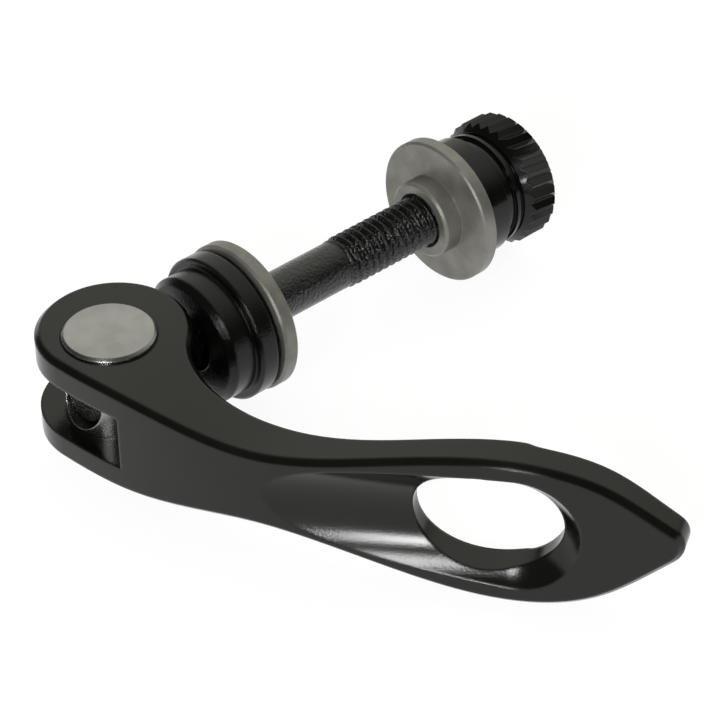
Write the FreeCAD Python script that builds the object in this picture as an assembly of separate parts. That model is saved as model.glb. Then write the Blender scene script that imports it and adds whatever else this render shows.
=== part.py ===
import FreeCAD, Part
import math
import os

# Quick release skewer for a seatpost collar, in millimetres.
# The rod lies along +X and the pivot pin stands along +Z. The origin is on the rod's axis,
# at the clamping face of the washer next to the lever. The lever is closed.

V = FreeCAD.Vector

# Rod
shank_diameter = 5.6
thread_diameter = 6.0
thread_length = 26.0
rod_end_chamfer = 0.6
rod_end_inset = 1.6
pin_end_inset = 1.0

# Clamped span and play
grip_length = 27.7
sliding_clearance = 0.3
thread_clearance = 0.05
pivot_clearance = 0.03
cup_washer_gap = 0.7
nut_face_gap = 0.1
cam_rest_gap = 0.9

# Stepped washers
washer_diameter = 17.0
washer_thickness = 1.8
washer_rim_chamfer = 0.25
boss_diameter = 9.1
boss_length = 2.4
boss_chamfer = 0.3

# Cam cup
cup_diameter = 14.6
cup_boss_length = 3.3
cup_front_edge = 0.7
flange_diameter = 16.6
flange_thickness = 2.4
flange_edge = 0.25

# Adjusting nut
collar_diameter = 14.0
collar_length = 3.6
collar_edge = 0.3
groove_diameter = 12.4
groove_width = 1.3
ring_diameter = 13.2
ring_width = 0.5
knob_gap = 0.65
knob_diameter = 15.0
knob_length = 4.2
knob_nose_diameter = 13.0
knob_lead_in = 0.9
knob_edge = 0.4
ridge_count = 30
ridge_height = 0.5
ridge_slant = 16.0

# Pivot pin
pin_diameter = 10.0
pin_proud = 0.5
pin_chamfer = 0.3

# Lever head: the cam circle is off the pin's centre, and the fork is open round its far side
head_height = 13.0
fork_width = 6.5
cam_radius = 8.25
cam_offset_x = 1.2
cam_offset_y = 0.85
fork_floor_distance = 6.5
fork_floor_angle = 15.0

# Lever in plan: places along a tilted line from the pin, the outer wall's bow from it, and thickness
lever_tilt = 30.0
outer_leave_angle = 185.0
inner_leave_angle = -48.0
throat_beyond_cam = 5.75
throat_offset = 4.2
neck_place = 20.0
neck_bow = 11.95
neck_thickness = 5.9
waist_place = 33.0
waist_bow = 11.75
waist_thickness = 4.1
paddle_place = 46.3
paddle_bow = 10.8
paddle_thickness = 4.35
tip_place = 63.0
tip_bow = 7.75
tip_thickness = 3.4
outer_tip_heading = 46.0
inner_tip_heading = 40.0

# Lever in elevation: half heights at the same places, and the rounded tip
head_end = 1.5
neck_half_height = 4.65
paddle_half_height = 9.0
shoulder_place = 54.7
shoulder_half_height = 7.3
tip_radius = 2.6
tip_half_angle = 38.0
lever_edge_bevel = 0.6

# Oval window through the paddle
window_angle = 33.4
window_place = 42.9
window_raise = 0.5
window_length = 15.4
window_height = 12.5

# Scoop that dips into the outer wall from the neck and ends round beyond the window
scoop_angle = 39.9
scoop_radius = 9.1
scoop_lift = 5.9
scoop_end = 43.5


# Places along the rod, worked out from the clamped span
cup_washer_back = -washer_thickness
cup_back = cup_washer_back - cup_washer_gap
cup_shoulder = cup_back - flange_thickness
cup_front = cup_shoulder - cup_boss_length
cam_reach = cam_radius + cam_offset_x
pivot_x = cup_front - cam_rest_gap - cam_reach
nut_washer_back = grip_length + washer_thickness
nut_front = nut_washer_back + nut_face_gap
nut_length = collar_length + groove_width + ring_width + knob_gap + knob_length
nut_end = nut_front + nut_length
rod_end = nut_end - rod_end_inset
sliding_bore = thread_diameter / 2 + sliding_clearance
throat_place = cam_radius + throat_beyond_cam
lever_room = 2 * (tip_place + cam_radius)


def direction(angle):
    return V(math.cos(math.radians(angle)), math.sin(math.radians(angle)), 0)


def turned(points):
    """A piece turned about the rod's axis from (place, radius) corners."""
    corners = [V(x, r, 0) for x, r in points]
    face = Part.Face(Part.makePolygon(corners + corners[:1]))
    return face.revolve(V(0, 0, 0), V(1, 0, 0), 360)


def rod_cylinder(radius, start, end):
    return Part.makeCylinder(radius, end - start, V(start, 0, 0), V(1, 0, 0))


def make_rod():
    shank = shank_diameter / 2
    crest = thread_diameter / 2
    start = pivot_x - pin_diameter / 2 + pin_end_inset
    thread_start = rod_end - thread_length
    run_out = crest - shank
    socket_end = pivot_x + pin_diameter / 2
    return turned([
        (start, 0),
        (start, crest - rod_end_chamfer),
        (start + rod_end_chamfer, crest),
        (socket_end, crest),
        (socket_end + run_out, shank),
        (thread_start - run_out, shank),
        (thread_start, crest),
        (rod_end - rod_end_chamfer, crest),
        (rod_end, crest - rod_end_chamfer),
        (rod_end, 0),
    ])


def make_pivot_pin():
    radius = pin_diameter / 2
    half = head_height / 2 + pin_proud
    pin = Part.makeCylinder(radius, 2 * half, V(pivot_x, 0, -half))
    ends = [edge for edge in pin.Edges if isinstance(edge.Curve, Part.Circle)]
    pin = pin.makeChamfer(pin_chamfer, ends)
    hole = rod_cylinder(thread_diameter / 2 + thread_clearance, pivot_x - radius, pivot_x + radius)
    return pin.cut(hole)


def make_stepped_washer(face, inward):
    """A disc whose clamping face is at face, with a boss pointing inward (+1 or -1)."""
    rim = washer_diameter / 2
    boss = boss_diameter / 2
    profile = [
        (-washer_thickness, sliding_bore),
        (-washer_thickness, rim - washer_rim_chamfer),
        (-washer_thickness + washer_rim_chamfer, rim),
        (-washer_rim_chamfer, rim),
        (0, rim - washer_rim_chamfer),
        (0, boss),
        (boss_length - boss_chamfer, boss),
        (boss_length, boss - boss_chamfer),
        (boss_length, sliding_bore),
    ]
    return turned([(face + inward * x, r) for x, r in profile])


def make_cam_cup():
    """A cup with a flange at its back, which the cam presses on at its front."""
    boss = cup_diameter / 2
    flange = flange_diameter / 2
    return turned([
        (cup_front, sliding_bore),
        (cup_front, boss - cup_front_edge),
        (cup_front + cup_front_edge, boss),
        (cup_shoulder, boss),
        (cup_shoulder, flange - flange_edge),
        (cup_shoulder + flange_edge, flange),
        (cup_back - flange_edge, flange),
        (cup_back, flange - flange_edge),
        (cup_back, sliding_bore),
    ])


def ridge_outline(x, turn):
    """Pointed ring of ridges in the plane at x, turned by an angle in degrees."""
    corners = []
    for index in range(2 * ridge_count):
        radius = knob_diameter / 2 - (index % 2) * ridge_height
        angle = math.radians(turn + 180.0 * index / ridge_count)
        corners.append(V(x, radius * math.cos(angle), radius * math.sin(angle)))
    return Part.makePolygon(corners + corners[:1])


def make_adjusting_nut():
    bore = thread_diameter / 2 + thread_clearance
    collar = collar_diameter / 2
    groove = groove_diameter / 2
    ring = ring_diameter / 2
    knob = knob_diameter / 2
    collar_end = nut_front + collar_length
    ring_start = collar_end + groove_width
    ring_end = ring_start + ring_width
    knob_start = nut_end - knob_length
    body = turned([
        (nut_front, bore),
        (nut_front, collar - collar_edge),
        (nut_front + collar_edge, collar),
        (collar_end - collar_edge, collar),
        (collar_end, collar - collar_edge),
        (collar_end, groove),
        (ring_start, groove),
        (ring_start, ring),
        (ring_end, ring),
        (ring_end, groove),
        (nut_end, groove),
        (nut_end, bore),
    ])
    ridges = Part.makeLoft([ridge_outline(knob_start, 0), ridge_outline(nut_end, ridge_slant)], True, True)
    envelope = turned([
        (knob_start, bore),
        (knob_start, knob_nose_diameter / 2),
        (knob_start + knob_lead_in, knob),
        (nut_end - knob_edge, knob),
        (nut_end, knob - knob_edge),
        (nut_end, bore),
    ])
    return body.fuse(ridges.common(envelope)).removeSplitter()


def spline(points, first_tangent, last_tangent):
    curve = Part.BSplineCurve()
    curve.interpolate(Points=points, InitialTangent=first_tangent, FinalTangent=last_tangent)
    return curve.toShape()


def in_plan(place, offset):
    """Point at a place along the lever and an offset outward from its straight line."""
    return direction(lever_tilt - 90) * place + direction(lever_tilt + 180) * offset


def lever_plan():
    """Outline of the lever seen from above, run on straight past the tip."""
    centre = V(cam_offset_x, cam_offset_y, 0)
    outer_start = centre + direction(outer_leave_angle) * cam_radius
    inner_start = centre + direction(inner_leave_angle) * cam_radius
    middle_angle = (outer_leave_angle + inner_leave_angle) / 2
    cam = Part.Arc(inner_start, centre + direction(middle_angle) * cam_radius, outer_start).toShape()
    outer_tip = in_plan(tip_place, tip_bow)
    inner_tip = in_plan(tip_place, tip_bow - tip_thickness)
    outer_heading = direction(outer_tip_heading - 90)
    inner_heading = direction(inner_tip_heading - 90)
    outer = spline([outer_start, in_plan(neck_place, neck_bow), in_plan(waist_place, waist_bow),
                    in_plan(paddle_place, paddle_bow), outer_tip],
                   direction(outer_leave_angle + 90), outer_heading)
    inner = spline([inner_start, in_plan(throat_place, throat_offset),
                    in_plan(neck_place, neck_bow - neck_thickness),
                    in_plan(waist_place, waist_bow - waist_thickness),
                    in_plan(paddle_place, paddle_bow - paddle_thickness), inner_tip],
                   direction(inner_leave_angle - 90), inner_heading)
    outer_end = outer_tip + outer_heading * tip_radius
    inner_end = inner_tip + inner_heading * tip_radius
    ends = [Part.makeLine(outer_tip, outer_end), Part.makeLine(outer_end, inner_end),
            Part.makeLine(inner_end, inner_tip)]
    return Part.Face(Part.Wire(Part.__sortEdges__([cam, outer] + ends + [inner])))


def lever_elevation():
    """Outline of the lever seen square to its length, as (place, height) on the XY plane."""
    head = head_height / 2
    heel_place = -lever_room / 2
    tip_side = V(tip_place - tip_radius, 0, 0) + direction(90 - tip_half_angle) * tip_radius
    upper = spline([V(head_end, head, 0), V(neck_place, neck_half_height, 0),
                    V(paddle_place, paddle_half_height, 0),
                    V(shoulder_place, shoulder_half_height, 0), tip_side],
                   V(1, 0, 0), direction(-tip_half_angle))
    top = Part.makeLine(V(heel_place, head, 0), V(head_end, head, 0))
    mirror = FreeCAD.Matrix()
    mirror.scale(1, -1, 1)
    lower = upper.transformGeometry(mirror)
    bottom = top.transformGeometry(mirror)
    tip = Part.Arc(tip_side, V(tip_place, 0, 0), V(tip_side.x, -tip_side.y, 0)).toShape()
    heel = Part.makeLine(V(heel_place, -head, 0), V(heel_place, head, 0))
    return Part.Face(Part.Wire(Part.__sortEdges__([heel, top, upper, tip, lower, bottom])))


def along_lever(angle, origin=V(0, 0, 0)):
    """Placement whose X runs along the lever, Y up the pin and Z outward through its outer wall."""
    along = direction(angle - 90)
    outward = direction(angle + 180)
    turn = FreeCAD.Rotation(along, V(0, 0, 1), outward, "XYZ")
    return FreeCAD.Placement(origin, turn)


def fork_slot():
    """Space between the two ears: all of the head beyond a floor set back from the pin."""
    corner = V(-lever_room / 2, -fork_floor_distance, -fork_width / 2)
    slot = Part.makeBox(lever_room, lever_room, fork_width, corner)
    slot.rotate(V(0, 0, 0), V(0, 0, 1), fork_floor_angle)
    return slot


def paddle_frame(angle):
    """Placement on the paddle's outer wall: its X is counted from the pin, along a line at the angle."""
    wall = in_plan(paddle_place, paddle_bow)
    along = direction(angle - 90)
    return along_lever(angle, wall - along * wall.dot(along))


def window():
    """Oval hole straight through the paddle."""
    oval = Part.Ellipse(V(window_place, window_raise, 0), window_length / 2, window_height / 2)
    hole = Part.Face(Part.Wire(oval.toShape())).extrude(V(0, 0, lever_room))
    hole.translate(V(0, 0, -lever_room / 2))
    hole.Placement = paddle_frame(window_angle).multiply(hole.Placement)
    return hole


def scoop():
    """Round bar with a ball end, which leaves its hollow where it crosses the outer wall."""
    centre = V(scoop_end, 0, 0)
    start = V(0, 0, 0)
    last = centre + V(scoop_radius, 0, 0)
    shoulder = centre + V(0, scoop_radius, 0)
    side = Part.makePolygon([last, start, V(0, scoop_radius, 0), shoulder])
    ball = Part.Arc(shoulder, centre + direction(45) * scoop_radius, last)
    face = Part.Face(Part.Wire(side.Edges + [ball.toShape()]))
    face.rotate(start, V(1, 0, 0), 90)
    hollow = face.revolve(start, V(1, 0, 0), 360)
    hollow.translate(V(0, 0, scoop_lift))
    hollow.Placement = paddle_frame(scoop_angle).multiply(hollow.Placement)
    return hollow


def make_lever():
    """The plan and the elevation cross, their curved edges are bevelled, then the openings are cut."""
    plan = lever_plan()
    plan.translate(V(0, 0, -lever_room / 2))
    elevation = lever_elevation()
    elevation.translate(V(0, 0, -lever_room / 2))
    elevation.Placement = along_lever(lever_tilt).multiply(elevation.Placement)
    blank = plan.extrude(V(0, 0, lever_room)).common(
        elevation.extrude(direction(lever_tilt + 180) * lever_room))
    rims = [edge for edge in blank.Edges if not isinstance(edge.Curve, Part.Line)]
    lever = blank.makeChamfer(lever_edge_bevel, rims)
    bore = Part.makeCylinder(pin_diameter / 2 + pivot_clearance, lever_room, V(0, 0, -lever_room / 2))
    return lever.cut(bore).cut(fork_slot()).cut(window()).cut(scoop())


os.makedirs("parts", exist_ok=True)
lever = make_lever()
lever.translate(V(pivot_x, 0, 0))
pieces = {
    "skewer_rod": make_rod(),
    "pivot_pin": make_pivot_pin(),
    "cup_washer": make_stepped_washer(0, 1),
    "nut_washer": make_stepped_washer(grip_length, -1),
    "cam_cup": make_cam_cup(),
    "adjusting_nut": make_adjusting_nut(),
    "lever": lever,
}
for name, shape in pieces.items():
    shape.exportStep("parts/" + name + ".step")
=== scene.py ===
import math

import bpy
from mathutils import Matrix, Vector


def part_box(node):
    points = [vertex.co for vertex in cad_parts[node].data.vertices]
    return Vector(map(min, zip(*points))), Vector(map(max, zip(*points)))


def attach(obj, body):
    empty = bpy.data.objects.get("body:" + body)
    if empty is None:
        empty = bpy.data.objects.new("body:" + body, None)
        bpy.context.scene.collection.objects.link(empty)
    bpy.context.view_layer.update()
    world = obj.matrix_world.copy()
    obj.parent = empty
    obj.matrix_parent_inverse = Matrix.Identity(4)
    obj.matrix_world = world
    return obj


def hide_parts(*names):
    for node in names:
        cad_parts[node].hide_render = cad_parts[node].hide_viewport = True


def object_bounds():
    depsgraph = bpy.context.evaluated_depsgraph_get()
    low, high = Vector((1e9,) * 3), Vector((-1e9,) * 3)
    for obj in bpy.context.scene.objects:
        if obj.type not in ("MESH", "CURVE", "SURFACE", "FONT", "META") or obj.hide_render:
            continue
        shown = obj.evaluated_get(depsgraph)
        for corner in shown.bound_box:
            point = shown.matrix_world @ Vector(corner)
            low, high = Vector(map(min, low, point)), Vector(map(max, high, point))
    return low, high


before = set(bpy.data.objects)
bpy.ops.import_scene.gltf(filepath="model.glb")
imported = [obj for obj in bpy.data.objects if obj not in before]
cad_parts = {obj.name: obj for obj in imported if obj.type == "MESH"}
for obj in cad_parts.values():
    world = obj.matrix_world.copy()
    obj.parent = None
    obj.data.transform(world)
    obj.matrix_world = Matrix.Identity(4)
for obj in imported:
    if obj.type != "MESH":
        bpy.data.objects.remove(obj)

cad_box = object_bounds()

MM = 0.001

# Camera: the photograph's viewing angles, and the pixel where the middle of the pivot pin falls
IMAGE_SIZE = 720
SENSOR_MM = 36.0
CAMERA_AZIMUTH = -41.53
CAMERA_ELEVATION = 37.87
CAMERA_ROLL = -0.66
CAMERA_DISTANCE = 300 * MM
CAMERA_NEAR = 10 * MM
FOCAL_PIXELS = 2859.0
PIN_PIXEL = (112.9, 383.6)

# Rod: a shank a step below the thread's crest, and a thread with flat crests and roots
SHANK_STEP = 0.2 * MM
ROD_CHAMFER = 0.6 * MM
THREAD_LENGTH = 26 * MM
THREAD_PITCH = 1 * MM
THREAD_DEPTH = 0.55 * MM
THREAD_RUN_OUT = 1.5 * MM
FLANK_SLOPE = 1.3
FLANK_START = 0.15
ROD_SIDES = 64
ROWS_PER_PITCH = 12

# Finishes: how far colour and roughness drift, and the size of the clouds that they drift over
BLACK_CLOUD_MM = 6.0
BLACK_CLOUD_STOPS = (0.3, 0.7)
BLACK_DARK_SHARE = 0.7
BLACK_ROUGHNESS_DRIFT = 0.04
METAL_CLOUD_MM = 3.0
METAL_CLOUD_STOPS = (0.35, 0.65)
METAL_ROUGHNESS_DRIFT = 0.08
EDGE_SAMPLES = 6

# Floor: pale, with a glow that only the camera and reflections see
FLOOR_HALF = 1.5
FLOOR_COLOUR = (0.9, 0.9, 0.9, 1)
FLOOR_ROUGHNESS = 0.9
FLOOR_GLOW = 1.1
FLOOR_GLOW_SHARE = 0.85
FLOOR_GLOW_COLOUR = (1, 1, 1, 1)

# Light: a broad bright side behind the object in a dim room, and two small lamps before the lever.
# The bright side fades out where the cosine of the angle from its middle falls to WINDOW_EDGE.
WINDOW_SIDE = (0.61, 0.35, 0.71)
WINDOW_EDGE = 0.3
WINDOW_LIGHT = 0.95
WINDOW_COLOUR = (1, 0.99, 0.9, 1)
ROOM_LIGHT = 0.08
LAMP_TARGET = (-0.011, -0.036, 0)
LAMPS = {
    "upper_lamp": {"place": (-0.38, -0.252, 0.2575), "width": 0.1, "height": 0.13, "power": 1.0},
    "lower_lamp": {"place": (-0.1735, -0.1474, 0.0239), "width": 0.012, "height": 0.04, "power": 0.1},
}


# Materials

def new_material(name):
    material = bpy.data.materials.new(name)
    material.use_nodes = True
    tree = material.node_tree
    return material, tree, tree.nodes["Principled BSDF"]


def add_node(tree, kind, **sockets):
    """A node with its unlinked sockets set, named by their labels."""
    node = tree.nodes.new(kind)
    for label, value in sockets.items():
        node.inputs[label.replace("_", " ")].default_value = value
    return node


def noise(tree, scale_mm, detail=3.0):
    """Noise in the part's own frame, with grains about scale_mm across."""
    place = tree.nodes.new("ShaderNodeTexCoord")
    texture = add_node(tree, "ShaderNodeTexNoise", Scale=1 / (scale_mm * MM), Detail=detail)
    tree.links.new(place.outputs["Object"], texture.inputs["Vector"])
    return texture.outputs["Fac"]


def ramp(tree, factor, stops, colours):
    """Colour that runs between two colours as the factor runs between two stops."""
    node = tree.nodes.new("ShaderNodeValToRGB")
    for element, position, colour in zip(node.color_ramp.elements, stops, colours):
        element.position = position
        element.color = (*colour, 1)
    tree.links.new(factor, node.inputs["Fac"])
    return node.outputs["Color"]


def span(tree, factor, low, high):
    """Factor from 0 to 1 spread over low to high."""
    node = add_node(tree, "ShaderNodeMapRange", To_Min=low, To_Max=high)
    tree.links.new(factor, node.inputs["Value"])
    return node.outputs["Result"]


def soft_edges(tree, radius_mm):
    """Normals that turn over within radius_mm of an edge, as on a cast piece."""
    node = add_node(tree, "ShaderNodeBevel", Radius=radius_mm * MM)
    node.samples = EDGE_SAMPLES
    return node.outputs["Normal"]


def bump(tree, shader, height, depth_mm, normal):
    """Relief of depth_mm, laid on a normal that is already shaped."""
    node = add_node(tree, "ShaderNodeBump", Strength=1.0, Distance=depth_mm * MM)
    tree.links.new(height, node.inputs["Height"])
    tree.links.new(normal, node.inputs["Normal"])
    tree.links.new(node.outputs["Normal"], shader.inputs["Normal"])


def black_finish(name, gloss, roughness, grain_mm, grain_depth_mm, tone, edge_mm):
    """Black coat whose gloss and tone drift a little, over a fine grain."""
    material, tree, shader = new_material(name)
    shader.inputs["Specular IOR Level"].default_value = gloss
    cloud = noise(tree, BLACK_CLOUD_MM)
    dark = tuple(BLACK_DARK_SHARE * level for level in tone)
    colour = ramp(tree, cloud, BLACK_CLOUD_STOPS, (dark, tone))
    drift = span(tree, cloud, roughness - BLACK_ROUGHNESS_DRIFT, roughness + BLACK_ROUGHNESS_DRIFT)
    tree.links.new(colour, shader.inputs["Base Color"])
    tree.links.new(drift, shader.inputs["Roughness"])
    bump(tree, shader, noise(tree, grain_mm), grain_depth_mm, soft_edges(tree, edge_mm))
    return material


def bright_metal(name, light, dark, metallic, roughness, grain_mm, grain_depth_mm, edge_mm):
    """Bare or plated metal with a fine grain and faint cloudy stains."""
    material, tree, shader = new_material(name)
    shader.inputs["Metallic"].default_value = metallic
    cloud = noise(tree, METAL_CLOUD_MM, detail=5.0)
    grain = noise(tree, grain_mm, detail=4.0)
    colour = ramp(tree, cloud, METAL_CLOUD_STOPS, (dark, light))
    drift = span(tree, grain, roughness - METAL_ROUGHNESS_DRIFT, roughness + METAL_ROUGHNESS_DRIFT)
    tree.links.new(colour, shader.inputs["Base Color"])
    tree.links.new(drift, shader.inputs["Roughness"])
    bump(tree, shader, grain, grain_depth_mm, soft_edges(tree, edge_mm))
    return material


lever_paint = black_finish(
    "lever_paint", gloss=0.33, roughness=0.16, grain_mm=0.22, grain_depth_mm=0.008,
    tone=(0.006, 0.0065, 0.0045), edge_mm=0.45)
cup_black = black_finish(
    "cup_black", gloss=0.28, roughness=0.20, grain_mm=0.22, grain_depth_mm=0.035,
    tone=(0.004, 0.0045, 0.0035), edge_mm=0.4)
nut_black = black_finish(
    "nut_black", gloss=0.3, roughness=0.16, grain_mm=0.5, grain_depth_mm=0.006,
    tone=(0.004, 0.004, 0.0035), edge_mm=0.15)
rod_paint = black_finish(
    "rod_paint", gloss=0.5, roughness=0.14, grain_mm=0.36, grain_depth_mm=0.16,
    tone=(0.006, 0.006, 0.005), edge_mm=0.1)
pin_steel = bright_metal(
    "pin_steel", light=(0.36, 0.36, 0.355), dark=(0.3, 0.3, 0.295), metallic=1.0,
    roughness=0.27, grain_mm=0.16, grain_depth_mm=0.008, edge_mm=0.2)
washer_steel = bright_metal(
    "washer_steel", light=(0.29, 0.285, 0.26), dark=(0.2, 0.195, 0.17), metallic=0.4,
    roughness=0.40, grain_mm=0.2, grain_depth_mm=0.02, edge_mm=0.2)

FINISHES = {
    "lever": lever_paint,
    "cam_cup": cup_black,
    "adjusting_nut": nut_black,
    "pivot_pin": pin_steel,
    "cup_washer": washer_steel,
    "nut_washer": washer_steel,
}


# Threaded rod

def thread_height(phase):
    """Height of the thread's flank over its root, from 0 to 1, at a phase of one turn."""
    rise = 1 - abs(2 * (phase % 1.0) - 1)
    return min(max(FLANK_SLOPE * rise - FLANK_START, 0.0), 1.0)


def make_threaded_rod():
    """The rod along X: full width inside the pin, then a shank, then the thread to its far end."""
    low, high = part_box("skewer_rod")
    crest = (high[2] - low[2]) / 2
    shank = crest - SHANK_STEP
    thread_start = high[0] - THREAD_LENGTH
    socket_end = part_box("pivot_pin")[1][0]
    rows = [low[0], low[0] + ROD_CHAMFER, socket_end, socket_end + SHANK_STEP]
    step = THREAD_PITCH / ROWS_PER_PITCH
    count = round(THREAD_LENGTH / step)
    rows += [thread_start + index * step for index in range(count + 1)]

    def radius(x, turn):
        if x <= socket_end:
            return crest - max(low[0] + ROD_CHAMFER - x, 0.0)
        if x < thread_start:
            return shank
        full = min((x - thread_start) / THREAD_RUN_OUT, 1.0)
        root = shank + full * (crest - THREAD_DEPTH - shank)
        flank = thread_height((x - thread_start) / THREAD_PITCH - turn)
        threaded = root + full * THREAD_DEPTH * flank
        return min(threaded, crest - max(x - (high[0] - ROD_CHAMFER), 0.0))

    points = []
    for x in rows:
        for side in range(ROD_SIDES):
            turn = side / ROD_SIDES
            angle = 2 * math.pi * turn
            r = radius(x, turn)
            points.append((x, r * math.cos(angle), r * math.sin(angle)))
    faces = []
    for row in range(len(rows) - 1):
        for side in range(ROD_SIDES):
            here = row * ROD_SIDES + side
            beside = row * ROD_SIDES + (side + 1) % ROD_SIDES
            faces.append((here, here + ROD_SIDES, beside + ROD_SIDES, beside))
    first_end = list(range(ROD_SIDES))
    last_end = [index + (len(rows) - 1) * ROD_SIDES for index in first_end]
    faces += [first_end, last_end[::-1]]

    mesh = bpy.data.meshes.new("threaded_rod")
    mesh.from_pydata(points, [], faces)
    mesh.update()
    for polygon in mesh.polygons:
        polygon.use_smooth = len(polygon.vertices) == 4
    mesh.materials.append(rod_paint)
    rod = bpy.data.objects.new("threaded_rod", mesh)
    bpy.context.scene.collection.objects.link(rod)
    return rod


threaded_rod = make_threaded_rod()
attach(threaded_rod, "rod")
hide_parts("skewer_rod")

for node, material in FINISHES.items():
    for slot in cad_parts[node].material_slots:
        slot.material = material


# Floor, light and camera

def make_floor_material():
    """Pale floor that shows almost white, under a light shadow, to the eye and in reflections."""
    material, tree, shader = new_material("floor_white")
    shader.inputs["Base Color"].default_value = FLOOR_COLOUR
    shader.inputs["Roughness"].default_value = FLOOR_ROUGHNESS
    glow = add_node(tree, "ShaderNodeEmission", Strength=FLOOR_GLOW, Color=FLOOR_GLOW_COLOUR)
    mix = tree.nodes.new("ShaderNodeMixShader")
    rays = tree.nodes.new("ShaderNodeLightPath")
    seen = rays.outputs["Is Camera Ray"]
    for kind in ("Is Glossy Ray", "Is Transmission Ray"):
        either = tree.nodes.new("ShaderNodeMath")
        either.operation = "MAXIMUM"
        tree.links.new(seen, either.inputs[0])
        tree.links.new(rays.outputs[kind], either.inputs[1])
        seen = either.outputs["Value"]
    tree.links.new(span(tree, seen, 0.0, FLOOR_GLOW_SHARE), mix.inputs["Fac"])
    tree.links.new(shader.outputs["BSDF"], mix.inputs[1])
    tree.links.new(glow.outputs["Emission"], mix.inputs[2])
    tree.links.new(mix.outputs["Shader"], tree.nodes["Material Output"].inputs["Surface"])
    return material


def make_floor():
    """A square of floor at the lowest point of the part."""
    z = cad_box[0][2]
    corners = [(-1, -1), (1, -1), (1, 1), (-1, 1)]
    mesh = bpy.data.meshes.new("floor")
    mesh.from_pydata([(FLOOR_HALF * x, FLOOR_HALF * y, z) for x, y in corners], [], [(0, 1, 2, 3)])
    mesh.materials.append(make_floor_material())
    floor = bpy.data.objects.new("floor", mesh)
    bpy.context.scene.collection.objects.link(floor)


def light_world():
    """A dim room with one broad bright side behind the object."""
    world = bpy.data.worlds.new("studio")
    bpy.context.scene.world = world
    world.use_nodes = True
    tree = world.node_tree
    background = tree.nodes["Background"]
    background.inputs["Color"].default_value = WINDOW_COLOUR
    place = tree.nodes.new("ShaderNodeTexCoord")
    facing = tree.nodes.new("ShaderNodeVectorMath")
    facing.operation = "DOT_PRODUCT"
    facing.inputs[1].default_value = Vector(WINDOW_SIDE).normalized()
    strength = add_node(tree, "ShaderNodeMapRange", From_Min=WINDOW_EDGE, From_Max=1.0,
                        To_Min=ROOM_LIGHT, To_Max=WINDOW_LIGHT)
    strength.interpolation_type = "SMOOTHSTEP"
    tree.links.new(place.outputs["Generated"], facing.inputs[0])
    tree.links.new(facing.outputs["Value"], strength.inputs["Value"])
    tree.links.new(strength.outputs["Result"], background.inputs["Strength"])


def add_lamp(name, place, width, height, power):
    """An oval softbox turned to the scoop of the lever, out of the camera's sight."""
    light = bpy.data.lights.new(name, "AREA")
    light.shape = "ELLIPSE"
    light.size = width
    light.size_y = height
    light.energy = power
    lamp = bpy.data.objects.new(name, light)
    bpy.context.scene.collection.objects.link(lamp)
    lamp.visible_camera = False
    lamp.location = place
    aim = Vector(LAMP_TARGET) - Vector(place)
    lamp.rotation_euler = aim.to_track_quat("-Z", "Y").to_euler()


def add_camera():
    """A camera at the photograph's angles, shifted so that the pin falls on its pixel."""
    azimuth = math.radians(CAMERA_AZIMUTH)
    elevation = math.radians(CAMERA_ELEVATION)
    roll = math.radians(CAMERA_ROLL)
    back = Vector((math.sin(azimuth) * math.cos(elevation),
                   -math.cos(azimuth) * math.cos(elevation),
                   math.sin(elevation)))
    level = Vector((math.cos(azimuth), math.sin(azimuth), 0))
    upright = back.cross(level)
    right = math.cos(roll) * level + math.sin(roll) * upright
    up = math.cos(roll) * upright - math.sin(roll) * level
    low, high = (Vector(corner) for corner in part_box("pivot_pin"))
    metres_per_pixel = CAMERA_DISTANCE / FOCAL_PIXELS
    across = (IMAGE_SIZE / 2 - PIN_PIXEL[0]) * metres_per_pixel
    rise = (PIN_PIXEL[1] - IMAGE_SIZE / 2) * metres_per_pixel
    place = (low + high) / 2 + across * right + rise * up + CAMERA_DISTANCE * back
    lens = bpy.data.cameras.new("camera")
    lens.sensor_width = SENSOR_MM
    lens.lens = FOCAL_PIXELS / IMAGE_SIZE * SENSOR_MM
    lens.clip_start = CAMERA_NEAR
    camera = bpy.data.objects.new("camera", lens)
    bpy.context.scene.collection.objects.link(camera)
    turn = Matrix((right, up, back)).transposed().to_4x4()
    camera.matrix_world = Matrix.Translation(place) @ turn
    bpy.context.scene.camera = camera


make_floor()
light_world()
for name, lamp in LAMPS.items():
    add_lamp(name, **lamp)
add_camera()
bpy.context.scene.view_settings.view_transform = "Standard"
